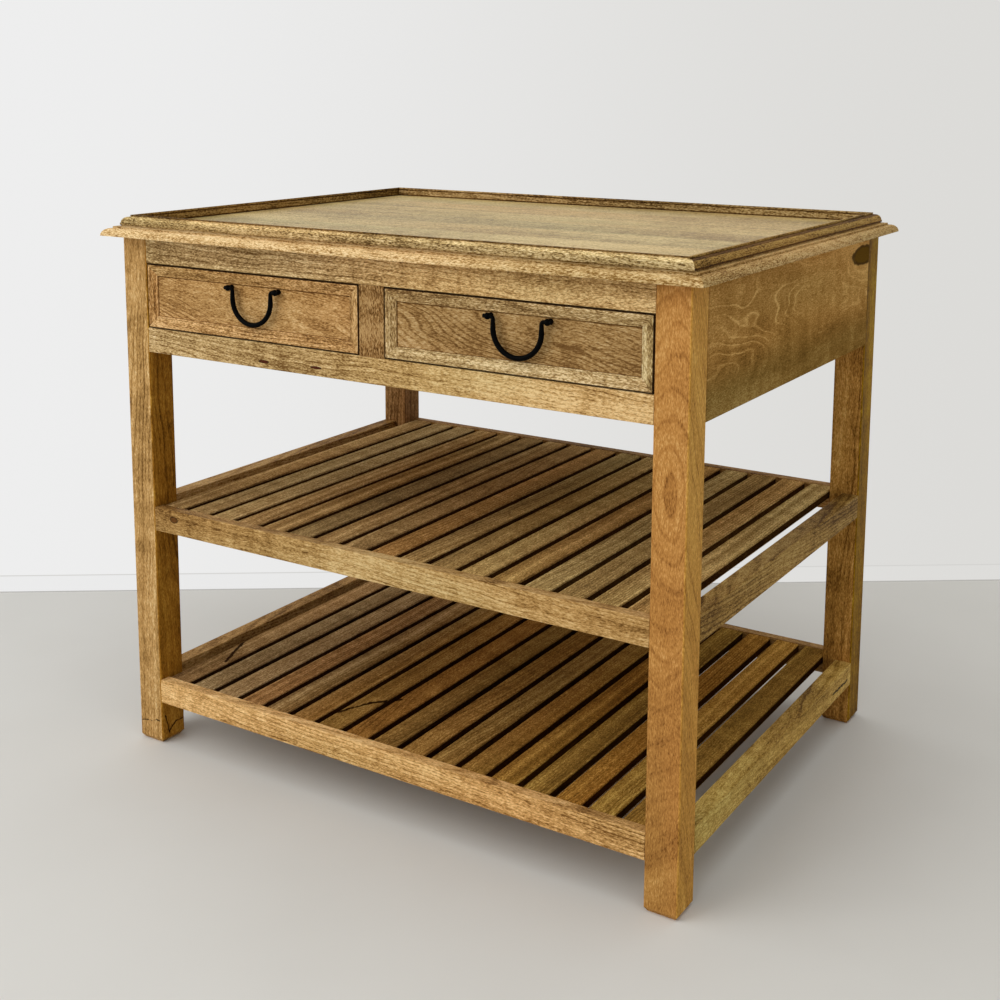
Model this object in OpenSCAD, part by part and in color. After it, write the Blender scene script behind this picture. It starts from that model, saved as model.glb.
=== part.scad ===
// Kitchen island in solid mango wood.
// Two inset drawers sit side by side under a tray top with a mitred moulding,
// and two slatted shelves tie four square legs together.
// Origin: centre of the four feet, on the floor. The drawers face -Y.

/* [Overall] */
// Width over the legs
width = 1011; // [800:1:1300]
// Depth over the legs
depth = 753; // [600:1:900]
// Height from the floor to the top of the tray lip
height = 900; // [860:1:960]
// Side of the square legs
leg_w = 51; // [46:1:60]

/* [Shelves] */
// Height of the floor gap below the lower shelf
low_shelf_z = 74; // [50:1:120]
// Height of the underside of the middle shelf
mid_shelf_z = 377; // [320:1:430]
// Height of a shelf rail
shelf_rail_h = 40; // [34:1:50]
// Thickness of a shelf rail
shelf_rail_t = 28; // [24:0.5:34]
// Slats in each shelf
slat_count = 17; // [12:1:19]
// Width of a slat
slat_w = 41; // [34:1:44]
// Thickness of a slat
slat_t = 15; // [12:0.5:18]
// How far the slats lie below the top of the rails
slat_drop = 1; // [0:0.5:3]
// Width of the ledge cut in the rails for the slat ends
ledge_w = 9.5; // [6:0.5:12]
// Space between the outer slats and the legs
slat_side_gap = 2.5; // [1:0.5:6]
// Play at each end of a slat
slat_end_play = 0.3; // [0.1:0.1:1]

/* [Aprons and front rails] */
// Height of the side and back aprons
apron_h = 188; // [170:0.5:200]
// Thickness of the side and back aprons
apron_t = 25; // [20:0.5:30]
// Thickness of the rails and the stile round the drawers
front_rail_t = 28; // [24:0.5:32]
// Height of the rail below the drawers
front_rail_h = 40; // [34:1:46]
// Height of the drawer openings
opening_h = 106; // [96:1:112]
// Width of the stile between the drawers
stile_w = 45; // [36:1:60]

/* [Joinery] */
// Thickness of the tenons
tenon_t = 10; // [8:0.5:12]
// Wood between the end of a tenon and the outer face of its leg
tenon_back = 26; // [21:1:32]
// Shoulder above and below a tenon
tenon_inset = 5; // [3:0.5:7]
// Height of each of the two tenons on an apron
apron_tenon_h = 60; // [40:1:64]
// Shoulder above and below the apron tenons
apron_tenon_inset = 15; // [10:1:20]
// Length of the short tenons of the stile
stub_l = 12; // [8:1:16]
// Length of the short tenons of the middle runner
runner_stub_l = 6; // [4:0.5:7]
// Play on each face of a tenon
tenon_play = 0.15; // [0.05:0.05:0.3]
// Space left at the bottom of a mortise
mortise_spare = 1; // [0.5:0.5:2]

/* [Tray top] */
// Thickness of the top boards and of the moulding round them
top_t = 17; // [15:0.5:22]
// Boards in the top
top_boards = 7; // [5:1:9]
// How far inside the leg faces the boards end, at the inner face of the lip
top_inset = 12.5; // [11:0.5:14]
// Height of the lip above the boards
lip_h = 16; // [15:0.5:22]
// Width of the lip
lip_w = 15.5; // [14:0.5:18]
// Width of the flat along the top of the lip
lip_flat = 3.5; // [2:0.5:5]
// Radius of the rounded outer face of the lip
ovolo_r = 9; // [7:0.5:10]
// How far the moulding reaches past the legs
nose_out = 25.5; // [23:0.5:34]
// Radius of the rounded nose of the moulding
nose_r = 12; // [10:0.5:13]

/* [Drawers] */
// Gap round a drawer front
front_gap = 2; // [1:0.25:3]
// Thickness of the drawer front without its frame moulding
front_t = 18; // [15:0.5:22]
// Height of the frame moulding on a drawer front
bead_t = 5; // [3.5:0.5:7]
// Width of the frame moulding on a drawer front
bead_w = 18; // [14:0.5:20]
// Hairline at the mitres of the frame moulding
bead_mitre = 0.1; // [0.05:0.05:0.2]
// Room between a closed drawer and the back apron
back_room = 65; // [20:1:300]
// Height of the drawer sides
side_h = 92; // [70:1:95]
// Thickness of the drawer sides and back
side_t = 12; // [10:0.5:15]
// Depth of the rebates in the front that take the sides
lap = 10; // [7:0.5:13]
// Distance from the end of the sides to the drawer back
back_set = 6; // [3:1:20]
// Thickness of the drawer bottom
bottom_t = 5; // [4:0.5:8]
// Height of the drawer bottom above the lower edge of the sides
bottom_up = 8; // [6:0.5:14]
// Depth of the grooves for the drawer bottom
groove_d = 5; // [3:0.5:6]
// Play of the drawer bottom in its grooves
groove_play = 0.15; // [0.1:0.05:0.3]
// Running gap under the drawer sides
run_gap = 0.3; // [0.2:0.1:1]

/* [Drawer runners] */
// Thickness of a runner
runner_t = 20; // [15:0.5:24]
// Width of the ledge that carries a drawer side
runner_ledge = 20; // [14:1:30]
// Height of the guide beside a drawer side
guide_h = 20; // [12:1:40]
// Gap between a runner and the legs beside it
runner_leg_gap = 0.5; // [0.3:0.1:2]

/* [Handles] */
// Distance between the two posts of a handle
post_span = 95; // [80:1:120]
// Height of the pivot above the middle of the drawer front
pivot_up = 27.5; // [20:0.5:34]
// How far a handle sits to the right of the middle of its drawer
handle_shift = 12; // [0:1:30]
// Distance from the face of the front to the pivot
pivot_out = 9.5; // [8.5:0.5:14]
// Diameter of the shank of a post
post_d = 8; // [7:0.5:10]
// Diameter of the shank that passes through the front
shank_d = 5; // [4:0.5:6]
// Radius of the round head of a post
head_r = 4.9; // [4.5:0.1:6]
// Diameter of the ends of the bail
bail_end_d = 6; // [5:0.25:6.5]
// Diameter of the bail at the bottom of its curve
bail_d = 7.6; // [6:0.2:9]
// Radius of the curve of the bail
bail_r = 38.5; // [30:0.5:40]
// Length of the straight arms of the bail
arm_l = 11; // [8:0.5:13]
// Radius of the bends at the ends of the bail
bend_r = 4.5; // [4:0.25:5]
// Running play all round the ends of the bail
pivot_play = 0.08; // [0.03:0.01:0.1]
// How far the ends of the bail show past the heads of the posts
end_out = 1.8; // [0.5:0.1:4]

/* [Edges] */
// Rounding on the long edges of the legs
leg_round = 2; // [1:0.25:4]
// Rounding on the long edges of rails, aprons and slats
edge_round = 1.25; // [0.5:0.25:2]
// Bevel round the foot of a leg
foot_bevel = 5; // [2:0.5:8]

/* [Hidden] */
$fn = 48;
e = 0.5;
hw = width / 2;
hd = depth / 2;
// Inner faces of the legs
in_x = hw - leg_w;
in_y = hd - leg_w;
// Length of the tenons in the legs
tenon_l = leg_w - tenon_back;
// Top of the legs and aprons, under the top boards
leg_h = height - lip_h - top_t;
board_z = leg_h + top_t;
apron_z = leg_h - apron_h;
open_z = apron_z + front_rail_h;
top_rail_z = open_z + opening_h;
top_rail_h = leg_h - top_rail_z;
apron_tenon_zs = [apron_z + apron_tenon_inset, leg_h - apron_tenon_inset - apron_tenon_h];
// Drawers
open_w = in_x - stile_w / 2;
drawer_x = stile_w / 2 + open_w / 2;
front_w = open_w - 2 * front_gap;
front_h = opening_h - 2 * front_gap;
front_z = open_z + front_gap;
face_y = -hd + bead_t;
front_back_y = face_y + front_t;
side_y = front_back_y - lap;
// Length of the drawer sides
side_l = hd - apron_t - back_room - side_y;
side_z = open_z + run_gap;
back_y = side_y + side_l - back_set - side_t;
bottom_z = side_z + bottom_up;
pivot_y = face_y - pivot_out;
pivot_z = front_z + front_h / 2 + pivot_up;
post_x = post_span / 2;
// Slats
slat_reach = hd - shelf_rail_t + ledge_w - slat_end_play;
slat_pitch = (2 * (in_x - slat_side_gap) - slat_w) / (slat_count - 1);
ledge_z = shelf_rail_h - slat_drop - slat_t;
wood_light = "#c69a5a";
wood_mid = "#b0854a";
wood_dark = "#94703f";
wood_grey = "#cbb083";
iron = "#1c1b1a";

// A rectangle w by h with round corners, its lower left corner at the origin
module eased(w, h, r) {
    union() {
        translate([r, 0]) square([w - 2 * r, h]);
        translate([0, r]) square([w, h - 2 * r]);
        for (x = [r, w - r], y = [r, h - r]) translate([x, y]) circle(r);
    }
}

// A bar along X from x0 to x1, with its section in Y and Z
module bar_x(x0, x1, y, z, t, h, r = edge_round) {
    translate([x0, y, z]) rotate([90, 0, 90]) linear_extrude(x1 - x0) eased(t, h, r);
}

// A bar along Y from y0 to y1, with its section in X and Z
module bar_y(y0, y1, x, z, t, h, r = edge_round) {
    translate([x, y1, z]) rotate([90, 0, 0]) linear_extrude(y1 - y0) eased(t, h, r);
}

// A plain box between two corners
module block(a, b) {
    translate(a) cube(b - a);
}

// Legs

// Mortises in one leg, whose outer corner is at the origin.
// tx and ty list [height, length, distance of the tenon's middle from the outer face].
module mortises(tx, ty) {
    g = tenon_play;
    for (m = tx)
        block([leg_w - tenon_l - mortise_spare, m[2] - tenon_t / 2 - g, m[0] - g],
            [leg_w + e, m[2] + tenon_t / 2 + g, m[0] + m[1] + g]);
    for (m = ty)
        block([m[2] - tenon_t / 2 - g, leg_w - tenon_l - mortise_spare, m[0] - g],
            [m[2] + tenon_t / 2 + g, leg_w + e, m[0] + m[1] + g]);
}

// Outline of a leg seen from one side, with the bevel at the foot
module leg_outline() {
    polygon([[foot_bevel, 0], [leg_w - foot_bevel, 0], [leg_w, foot_bevel * 1.4], [leg_w, leg_h],
        [0, leg_h], [0, foot_bevel * 1.4]]);
}

module leg(tx, ty) {
    difference() {
        intersection() {
            linear_extrude(leg_h) eased(leg_w, leg_w, leg_round);
            translate([0, leg_w + e, 0]) rotate([90, 0, 0]) linear_extrude(leg_w + 2 * e) leg_outline();
            translate([-e, 0, 0]) rotate([90, 0, 90]) linear_extrude(leg_w + 2 * e) leg_outline();
        }
        mortises(tx, ty);
    }
}

rail_tenon_h = shelf_rail_h - 2 * tenon_inset;
shelf_mortises = [[low_shelf_z + tenon_inset, rail_tenon_h, shelf_rail_t / 2],
    [mid_shelf_z + tenon_inset, rail_tenon_h, shelf_rail_t / 2]];
apron_mortises = [for (z = apron_tenon_zs) [z, apron_tenon_h, apron_t / 2]];
front_mortises = [[apron_z + tenon_inset, front_rail_h - 2 * tenon_inset, front_rail_t / 2],
    [top_rail_z + tenon_inset, top_rail_h - 2 * tenon_inset, front_rail_t / 2]];

module place_leg(sx, sy) {
    mirror([sx > 0 ? 1 : 0, 0, 0]) mirror([0, sy > 0 ? 1 : 0, 0]) translate([-hw, -hd, 0]) children();
}

module front_leg() leg(concat(shelf_mortises, front_mortises), concat(shelf_mortises, apron_mortises));
module back_leg() leg(concat(shelf_mortises, apron_mortises), concat(shelf_mortises, apron_mortises));

module leg_front_left() color(wood_light) place_leg(-1, -1) front_leg();
module leg_front_right() color(wood_light) place_leg(1, -1) front_leg();
module leg_back_left() color(wood_light) place_leg(-1, 1) back_leg();
module leg_back_right() color(wood_light) place_leg(1, 1) back_leg();

// Shelves

// Front shelf rail with its ledge for the slats and a tenon at each end
module shelf_rail_x(z) {
    difference() {
        union() {
            bar_x(-in_x, in_x, -hd, z, shelf_rail_t, shelf_rail_h);
            block([-in_x - tenon_l, -hd + shelf_rail_t / 2 - tenon_t / 2, z + tenon_inset],
                [in_x + tenon_l, -hd + shelf_rail_t / 2 + tenon_t / 2, z + shelf_rail_h - tenon_inset]);
        }
        block([-in_x - e, -hd + shelf_rail_t - ledge_w, z + ledge_z],
            [in_x + e, -hd + shelf_rail_t + e, z + shelf_rail_h + e]);
    }
}

// Left shelf rail with a tenon at each end
module shelf_rail_y(z) {
    bar_y(-in_y, in_y, -hw, z, shelf_rail_t, shelf_rail_h);
    block([-hw + shelf_rail_t / 2 - tenon_t / 2, -in_y - tenon_l, z + tenon_inset],
        [-hw + shelf_rail_t / 2 + tenon_t / 2, in_y + tenon_l, z + shelf_rail_h - tenon_inset]);
}

// The slats of a shelf, which lie on the ledges of the front and back rails
module slats(z) {
    for (i = [0:slat_count - 1])
        bar_y(-slat_reach, slat_reach, -in_x + slat_side_gap + i * slat_pitch, z + ledge_z,
            slat_w, slat_t);
}

module low_rail_front() color(wood_light) shelf_rail_x(low_shelf_z);
module low_rail_back() color(wood_light) mirror([0, 1, 0]) shelf_rail_x(low_shelf_z);
module low_rail_left() color(wood_mid) shelf_rail_y(low_shelf_z);
module low_rail_right() color(wood_mid) mirror([1, 0, 0]) shelf_rail_y(low_shelf_z);
module low_slats() color(wood_dark) slats(low_shelf_z);
module mid_rail_front() color(wood_light) shelf_rail_x(mid_shelf_z);
module mid_rail_back() color(wood_light) mirror([0, 1, 0]) shelf_rail_x(mid_shelf_z);
module mid_rail_left() color(wood_mid) shelf_rail_y(mid_shelf_z);
module mid_rail_right() color(wood_mid) mirror([1, 0, 0]) shelf_rail_y(mid_shelf_z);
module mid_slats() color(wood_dark) slats(mid_shelf_z);

// Aprons

// Left apron, flush with the outer faces of its legs, with two tenons at each end
module apron_y() {
    bar_y(-in_y, in_y, -hw, apron_z, apron_t, apron_h);
    for (z = apron_tenon_zs)
        block([-hw + apron_t / 2 - tenon_t / 2, -in_y - tenon_l, z],
            [-hw + apron_t / 2 + tenon_t / 2, in_y + tenon_l, z + apron_tenon_h]);
}

module apron_left() color(wood_mid) apron_y();
module apron_right() color(wood_mid) mirror([1, 0, 0]) apron_y();

module apron_back() color(wood_mid) difference() {
    union() {
        bar_x(-in_x, in_x, hd - apron_t, apron_z, apron_t, apron_h);
        for (z = apron_tenon_zs)
            block([-in_x - tenon_l, hd - apron_t / 2 - tenon_t / 2, z],
                [in_x + tenon_l, hd - apron_t / 2 + tenon_t / 2, z + apron_tenon_h]);
    }
    runner_stub(hd - apron_t - e, hd - apron_t + runner_stub_l + mortise_spare, tenon_play);
}

// Front rails and stile

// Stub tenon of the stile, from height z0 to z1
module stile_stub(z0, z1, g = 0) {
    block([-stile_w / 2 + tenon_inset - g, -hd + front_rail_t / 2 - tenon_t / 2 - g, z0],
        [stile_w / 2 - tenon_inset + g, -hd + front_rail_t / 2 + tenon_t / 2 + g, z1]);
}

module front_rail(z, h) {
    bar_x(-in_x, in_x, -hd, z, front_rail_t, h);
    block([-in_x - tenon_l, -hd + front_rail_t / 2 - tenon_t / 2, z + tenon_inset],
        [in_x + tenon_l, -hd + front_rail_t / 2 + tenon_t / 2, z + h - tenon_inset]);
}

module front_rail_low() color(wood_light) difference() {
    front_rail(apron_z, front_rail_h);
    stile_stub(open_z - stub_l - mortise_spare, open_z + e, tenon_play);
    runner_stub(-hd + front_rail_t - runner_stub_l - mortise_spare, -hd + front_rail_t + e, tenon_play);
}

module front_rail_top() color(wood_light) difference() {
    front_rail(top_rail_z, top_rail_h);
    stile_stub(top_rail_z - e, top_rail_z + stub_l + mortise_spare, tenon_play);
}

module front_stile() color(wood_mid) {
    translate([-stile_w / 2, -hd, open_z]) linear_extrude(opening_h) eased(stile_w, front_rail_t, edge_round);
    stile_stub(open_z - stub_l, top_rail_z + stub_l);
}

// Drawer runners

ledge_top = open_z;
runner_z = open_z - runner_t;
runner_half = stile_w / 2 + runner_ledge;

// Stub tenon of the middle runner between two depths
module runner_stub(y0, y1, g = 0) {
    block([-stile_w / 2 - g, y0, runner_z + tenon_inset - g], [stile_w / 2 + g, y1, runner_z + runner_t - tenon_inset + g]);
}

// Left runner: a ledge under the drawer side and a guide beside it, fixed to the apron
module runner_side() {
    block([-in_x + runner_leg_gap, -hd + front_rail_t, runner_z], [-in_x + runner_ledge, hd - apron_t, ledge_top]);
    block([-hw + apron_t, -in_y + runner_leg_gap, runner_z],
        [-in_x + runner_leg_gap, in_y - runner_leg_gap, ledge_top]);
    block([-hw + apron_t, -in_y + runner_leg_gap, ledge_top],
        [-in_x, in_y - runner_leg_gap, ledge_top + guide_h]);
}

module runner_left() color(wood_dark) runner_side();
module runner_right() color(wood_dark) mirror([1, 0, 0]) runner_side();

module runner_middle() color(wood_dark) {
    block([-runner_half, -hd + front_rail_t, runner_z], [runner_half, hd - apron_t, ledge_top]);
    block([-stile_w / 2, -hd + front_rail_t, ledge_top], [stile_w / 2, hd - apron_t, ledge_top + guide_h]);
    runner_stub(-hd + front_rail_t - runner_stub_l, hd - apron_t + runner_stub_l);
}

// Tray top

board_w = (depth - 2 * top_inset) / top_boards;

module top_board(i) color(wood_grey)
    block([-hw + top_inset, -hd + top_inset + (i - 1) * board_w, leg_h],
        [hw - top_inset, -hd + top_inset + i * board_w, board_z]);

module top_board_1() top_board(1);
module top_board_2() top_board(2);
module top_board_3() top_board(3);
module top_board_4() top_board(4);
module top_board_5() top_board(5);
module top_board_6() top_board(6);
module top_board_7() top_board(7);

// Section of the moulding: x is the distance out from the legs, y the height. From
// the lip it steps down to a thin fillet, then to the rounded nose
module moulding_section() {
    lip_out = lip_w - top_inset;
    nose_x = nose_out - nose_r;
    quirk_x = lip_out - 1.5;
    fillet_x = lip_out + 8;
    fillet_z = board_z - 2;
    polygon([[-top_inset, leg_h], [nose_x, leg_h], [nose_x, leg_h + nose_r],
        [fillet_x, leg_h + nose_r], [fillet_x, fillet_z], [quirk_x, fillet_z],
        [quirk_x, board_z], [-top_inset, board_z]]);
    translate([nose_x, leg_h]) intersection() {
        circle(nose_r);
        translate([-e, 0]) square([nose_r + e, nose_r]);
    }
}

// Section of the lip, which stands on the moulding: a narrow flat, a small step
// down, an ovolo and a short upright foot
module lip_section() {
    step_h = 3;
    lip_out = lip_w - top_inset;
    flat_x = lip_flat - top_inset;
    ovolo_x = lip_out - 1 - ovolo_r;
    ovolo_z = board_z + lip_h - step_h - ovolo_r;
    translate([-top_inset, board_z]) square([lip_flat, lip_h]);
    translate([-top_inset, board_z]) square([lip_w - 1, ovolo_z - board_z]);
    translate([-top_inset, board_z]) square([lip_w, ovolo_z - board_z - 0.5]);
    intersection() {
        translate([ovolo_x, ovolo_z]) circle(ovolo_r);
        translate([flat_x - e, ovolo_z - e]) square([lip_w, ovolo_r + 2 * e]);
    }
}

// The mitre cuts start this far inside the leg faces, past the inner face of the lip
mitre_in = top_inset + 5;

// A length of moulding along the front, cut at both ends for the mitres
module front_strip(mx, my) {
    out = nose_out + mitre_in + 10;
    intersection() {
        translate([-hw - out, -hd, 0]) rotate([90, 0, 90]) linear_extrude(width + 2 * out) mirror([1, 0]) children();
        translate([0, 0, leg_h - e]) linear_extrude(height) polygon([[-mx, -my], [mx, -my],
            [mx + out, -my - out], [-mx - out, -my - out]]);
    }
}

// The same along the left side
module side_strip(mx, my) {
    out = nose_out + mitre_in + 10;
    intersection() {
        translate([-hw, hd + out, 0]) rotate([90, 0, 0]) linear_extrude(depth + 2 * out) mirror([1, 0]) children();
        translate([0, 0, leg_h - e]) linear_extrude(height) polygon([[-mx, -my], [-mx, my],
            [-mx - out, my + out], [-mx - out, -my - out]]);
    }
}

module moulding_front() color(wood_light) front_strip(hw - mitre_in, hd - mitre_in) moulding_section();
module moulding_back() color(wood_light) mirror([0, 1, 0]) front_strip(hw - mitre_in, hd - mitre_in) moulding_section();
module moulding_left() color(wood_light) side_strip(hw - mitre_in, hd - mitre_in) moulding_section();
module moulding_right() color(wood_light) mirror([1, 0, 0]) side_strip(hw - mitre_in, hd - mitre_in) moulding_section();
module lip_front() color(wood_mid) front_strip(hw - mitre_in, hd - mitre_in) lip_section();
module lip_back() color(wood_mid) mirror([0, 1, 0]) front_strip(hw - mitre_in, hd - mitre_in) lip_section();
module lip_left() color(wood_mid) side_strip(hw - mitre_in, hd - mitre_in) lip_section();
module lip_right() color(wood_mid) mirror([1, 0, 0]) side_strip(hw - mitre_in, hd - mitre_in) lip_section();

// Drawers, each modelled with the middle of its opening at x = 0

module at_drawer(s) translate([s * drawer_x, 0, 0]) children();

// Handle holes through a drawer front
module shank_holes() {
    for (sx = [-1, 1])
        translate([handle_shift + sx * post_x, front_back_y + e, pivot_z]) rotate([90, 0, 0])
            cylinder(h = front_t + bead_t + 2 * e, d = shank_d + 2 * pivot_play);
}

module drawer_front() {
    difference() {
        block([-front_w / 2, face_y, front_z], [front_w / 2, front_back_y, front_z + front_h]);
        for (sx = [-1, 1])
            block([sx > 0 ? front_w / 2 - side_t : -front_w / 2 - e, side_y, front_z - e],
                [sx > 0 ? front_w / 2 + e : -front_w / 2 + side_t, front_back_y + e, side_z + side_h]);
        block([-front_w / 2 + side_t - groove_d, front_back_y - groove_d, bottom_z - groove_play],
            [front_w / 2 - side_t + groove_d, front_back_y + e, bottom_z + bottom_t + groove_play]);
        shank_holes();
    }
}

// Section of the frame moulding: x from the outer edge inwards, y the height above the front
module bead_section() {
    flat = bead_w * 0.3;
    toe = 1.2;
    quirk = 2.6;
    foot = 0.6;
    ogee_end = bead_w - quirk;
    polygon(concat([[0, 0], [0, bead_t - 0.5], [0.5, bead_t], [flat, bead_t], [flat, bead_t - 0.6]],
        [for (i = [0:8]) [flat + (ogee_end - flat) * i / 8,
            toe + (bead_t - 0.6 - toe) * (0.5 + 0.5 * cos(180 * i / 8))]],
        [[ogee_end, foot], [bead_w, foot], [bead_w, 0]]));
    translate([bead_w - quirk / 2, foot]) intersection() {
        circle(quirk / 2);
        translate([-quirk, -foot]) square([2 * quirk, quirk]);
    }
}

// One strip of the frame moulding, of the given length, mitred at both ends.
// It lies along X from the outer edge at y = 0 inwards, with its back at z = 0.
module bead_strip(l) {
    intersection() {
        translate([-l / 2, 0, 0]) rotate([90, 0, 90]) linear_extrude(l) bead_section();
        translate([0, 0, -e]) linear_extrude(bead_t + 2 * e) polygon([[-l / 2 + bead_mitre, 0],
            [l / 2 - bead_mitre, 0], [l / 2 - bead_w - bead_mitre, bead_w], [-l / 2 + bead_w + bead_mitre, bead_w]]);
    }
}

module drawer_bead() {
    translate([0, face_y, front_z + front_h / 2]) rotate([90, 0, 0]) for (a = [0, 180]) rotate(a) {
        translate([0, -front_h / 2, 0]) bead_strip(front_w);
        rotate(90) translate([0, -front_w / 2, 0]) bead_strip(front_h);
    }
}

// Left-hand side of a drawer, grooved for the bottom
module drawer_side() {
    difference() {
        block([-front_w / 2, side_y, side_z], [-front_w / 2 + side_t, side_y + side_l, side_z + side_h]);
        block([-front_w / 2 + side_t - groove_d, side_y - e, bottom_z - groove_play],
            [-front_w / 2 + side_t + e, side_y + side_l + e, bottom_z + bottom_t + groove_play]);
    }
}

module drawer_back() {
    block([-front_w / 2 + side_t, back_y, bottom_z + bottom_t + groove_play],
        [front_w / 2 - side_t, back_y + side_t, side_z + side_h]);
}

module drawer_bottom() {
    reach = front_w / 2 - side_t + groove_d - groove_play;
    block([-reach, front_back_y - groove_d + groove_play, bottom_z], [reach, back_y + side_t, bottom_z + bottom_t]);
}

module drawer_left_front() color(wood_light) at_drawer(-1) drawer_front();
module drawer_left_bead() color(wood_light) at_drawer(-1) drawer_bead();
module drawer_left_side_a() color(wood_grey) at_drawer(-1) drawer_side();
module drawer_left_side_b() color(wood_grey) at_drawer(-1) mirror([1, 0, 0]) drawer_side();
module drawer_left_back() color(wood_grey) at_drawer(-1) drawer_back();
module drawer_left_bottom() color(wood_grey) at_drawer(-1) drawer_bottom();
module drawer_right_front() color(wood_light) at_drawer(1) drawer_front();
module drawer_right_bead() color(wood_light) at_drawer(1) drawer_bead();
module drawer_right_side_a() color(wood_grey) at_drawer(1) drawer_side();
module drawer_right_side_b() color(wood_grey) at_drawer(1) mirror([1, 0, 0]) drawer_side();
module drawer_right_back() color(wood_grey) at_drawer(1) drawer_back();
module drawer_right_bottom() color(wood_grey) at_drawer(1) drawer_bottom();

// Handles

// Half section of a post, turned about its own line: x is the radius, y the height above the front
module post_section() {
    translate([0, -front_t - 4]) square([shank_d / 2, front_t + 4 + e]);
    square([post_d / 2, pivot_out]);
    intersection() {
        translate([0, pivot_out]) circle(head_r);
        square([head_r + e, pivot_out + head_r + e]);
    }
}

// One post: a shank through the front, a stem and a round head bored for the bail
module post() {
    difference() {
        translate([0, face_y, 0]) rotate([90, 0, 0]) rotate([0, 0, 90]) rotate_extrude() post_section();
        translate([-head_r - e, pivot_y, 0]) rotate([0, 90, 0])
            cylinder(h = 2 * (head_r + e), d = bail_end_d + 2 * pivot_play);
    }
}

module handle_posts() {
    for (sx = [-1, 1]) translate([handle_shift + sx * post_x, 0, pivot_z]) post();
}

// The bail hangs from the posts: a half ring, two arms, and ends turned outwards
module handle_bail() {
    arm_top = -bend_r;
    arc_z = arm_top - arm_l;
    stub_x = bail_r + bend_r;
    translate([handle_shift, pivot_y, pivot_z]) {
        translate([0, 0, arc_z]) rotate([90, 0, 0]) rotate([0, 0, 180]) rotate_extrude(angle = 180)
            translate([bail_r, 0]) circle(d = bail_d);
        for (sx = [0, 1]) mirror([sx, 0, 0]) {
            translate([bail_r, 0, arc_z]) cylinder(h = arm_l, d1 = bail_d, d2 = bail_end_d);
            translate([stub_x, 0, arm_top]) rotate([90, 0, 0]) rotate([0, 0, 90]) rotate_extrude(angle = 90)
                translate([bend_r, 0]) circle(d = bail_end_d);
            translate([stub_x, 0, 0]) rotate([0, 90, 0])
                cylinder(h = post_x - stub_x + head_r + end_out, d = bail_end_d);
        }
    }
}

module handle_left_posts() color(iron) at_drawer(-1) handle_posts();
module handle_left_bail() color(iron) at_drawer(-1) handle_bail();
module handle_right_posts() color(iron) at_drawer(1) handle_posts();
module handle_right_bail() color(iron) at_drawer(1) handle_bail();

leg_front_left();
leg_front_right();
leg_back_left();
leg_back_right();
low_rail_front();
low_rail_back();
low_rail_left();
low_rail_right();
low_slats();
mid_rail_front();
mid_rail_back();
mid_rail_left();
mid_rail_right();
mid_slats();
apron_left();
apron_right();
apron_back();
front_rail_low();
front_rail_top();
front_stile();
runner_left();
runner_middle();
runner_right();
top_board_1();
top_board_2();
top_board_3();
top_board_4();
top_board_5();
top_board_6();
top_board_7();
moulding_front();
moulding_back();
moulding_left();
moulding_right();
lip_front();
lip_back();
lip_left();
lip_right();
drawer_left_front();
drawer_left_bead();
drawer_left_side_a();
drawer_left_side_b();
drawer_left_back();
drawer_left_bottom();
handle_left_posts();
handle_left_bail();
drawer_right_front();
drawer_right_bead();
drawer_right_side_a();
drawer_right_side_b();
drawer_right_back();
drawer_right_bottom();
handle_right_posts();
handle_right_bail();
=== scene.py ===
import math

import bpy
from mathutils import Matrix, Vector


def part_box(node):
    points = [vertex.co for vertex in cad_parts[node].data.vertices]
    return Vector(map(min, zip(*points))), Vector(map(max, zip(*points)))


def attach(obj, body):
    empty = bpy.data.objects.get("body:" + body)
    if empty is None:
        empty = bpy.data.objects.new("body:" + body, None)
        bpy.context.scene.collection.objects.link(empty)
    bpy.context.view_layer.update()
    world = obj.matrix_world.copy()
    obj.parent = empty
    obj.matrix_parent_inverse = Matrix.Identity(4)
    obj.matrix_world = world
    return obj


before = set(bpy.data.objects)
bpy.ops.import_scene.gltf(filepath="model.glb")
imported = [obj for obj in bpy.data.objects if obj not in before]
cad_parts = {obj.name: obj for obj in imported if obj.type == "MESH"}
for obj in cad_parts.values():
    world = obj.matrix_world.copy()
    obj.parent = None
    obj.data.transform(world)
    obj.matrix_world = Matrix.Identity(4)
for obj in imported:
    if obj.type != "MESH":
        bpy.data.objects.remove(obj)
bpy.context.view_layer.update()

# Legs
# Four square legs, each sawn from one length of solid mango wood with the grain upright.
# Their long edges are eased, the foot has a small bevel, and a clear satin lacquer covers them.


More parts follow.
